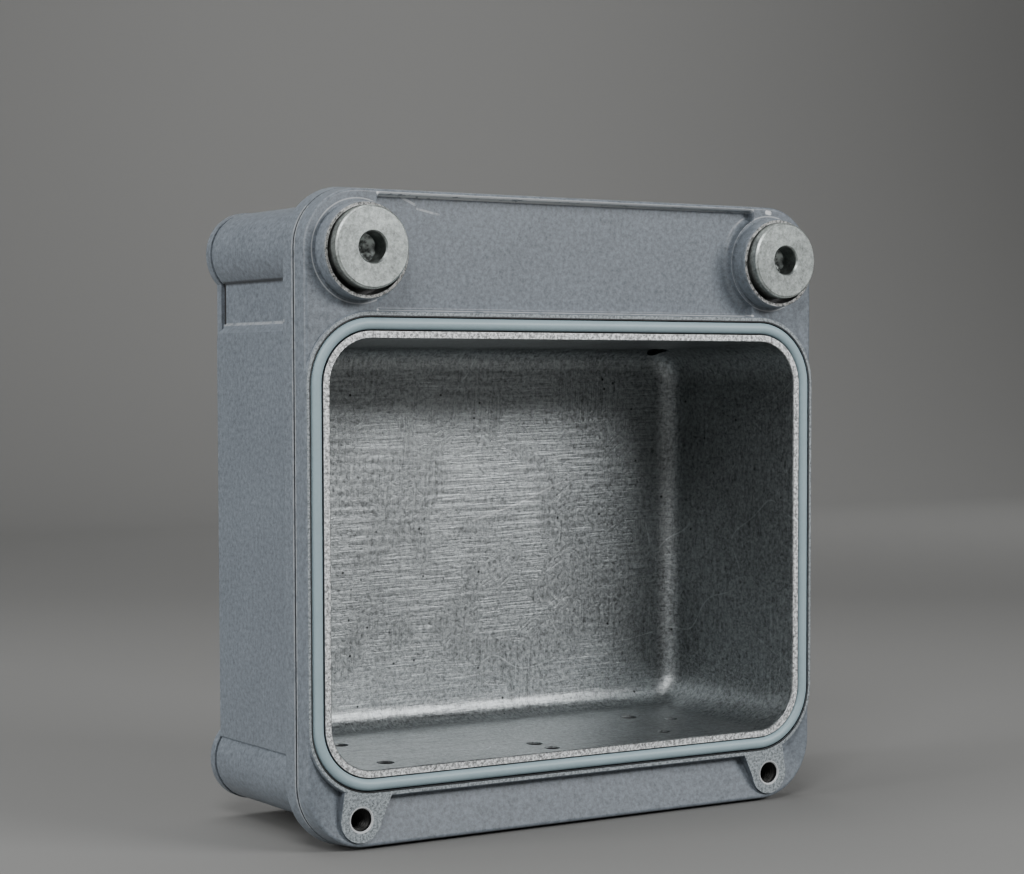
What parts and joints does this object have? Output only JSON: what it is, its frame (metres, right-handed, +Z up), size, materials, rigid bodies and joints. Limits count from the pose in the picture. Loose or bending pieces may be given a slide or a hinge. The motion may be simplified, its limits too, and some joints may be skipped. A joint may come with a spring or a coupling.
{
  "type": "die cast aluminium box",
  "caption": "Painted die cast aluminium box with a wide sealed front opening, bare turned posts above it, threaded lugs below it and a screwed-on back plate.",
  "frame": {"origin": "middle of the underside of the box's bounding box", "axes": "+Z up, +Y from the front opening to the back plate, +X to the right as seen from the front"},
  "size_m": [0.165, 0.0732, 0.1705],
  "materials": {
    "paint": "satin",
    "seal": "satin",
    "turned_metal": "satin",
    "black_seal": "matte",
    "screw_steel": "satin"
  },
  "bodies": {
    "root": {"body": "paint", "front_seal": "seal", "post_left": "turned_metal", "post_right": "turned_metal", "back_plate": "paint", "back_seal": "black_seal", "back_screw_top_left": "screw_steel", "back_screw_top_right": "screw_steel", "back_screw_bottom_left": "screw_steel", "back_screw_bottom_right": "screw_steel"}
  },
  "joints": []
}
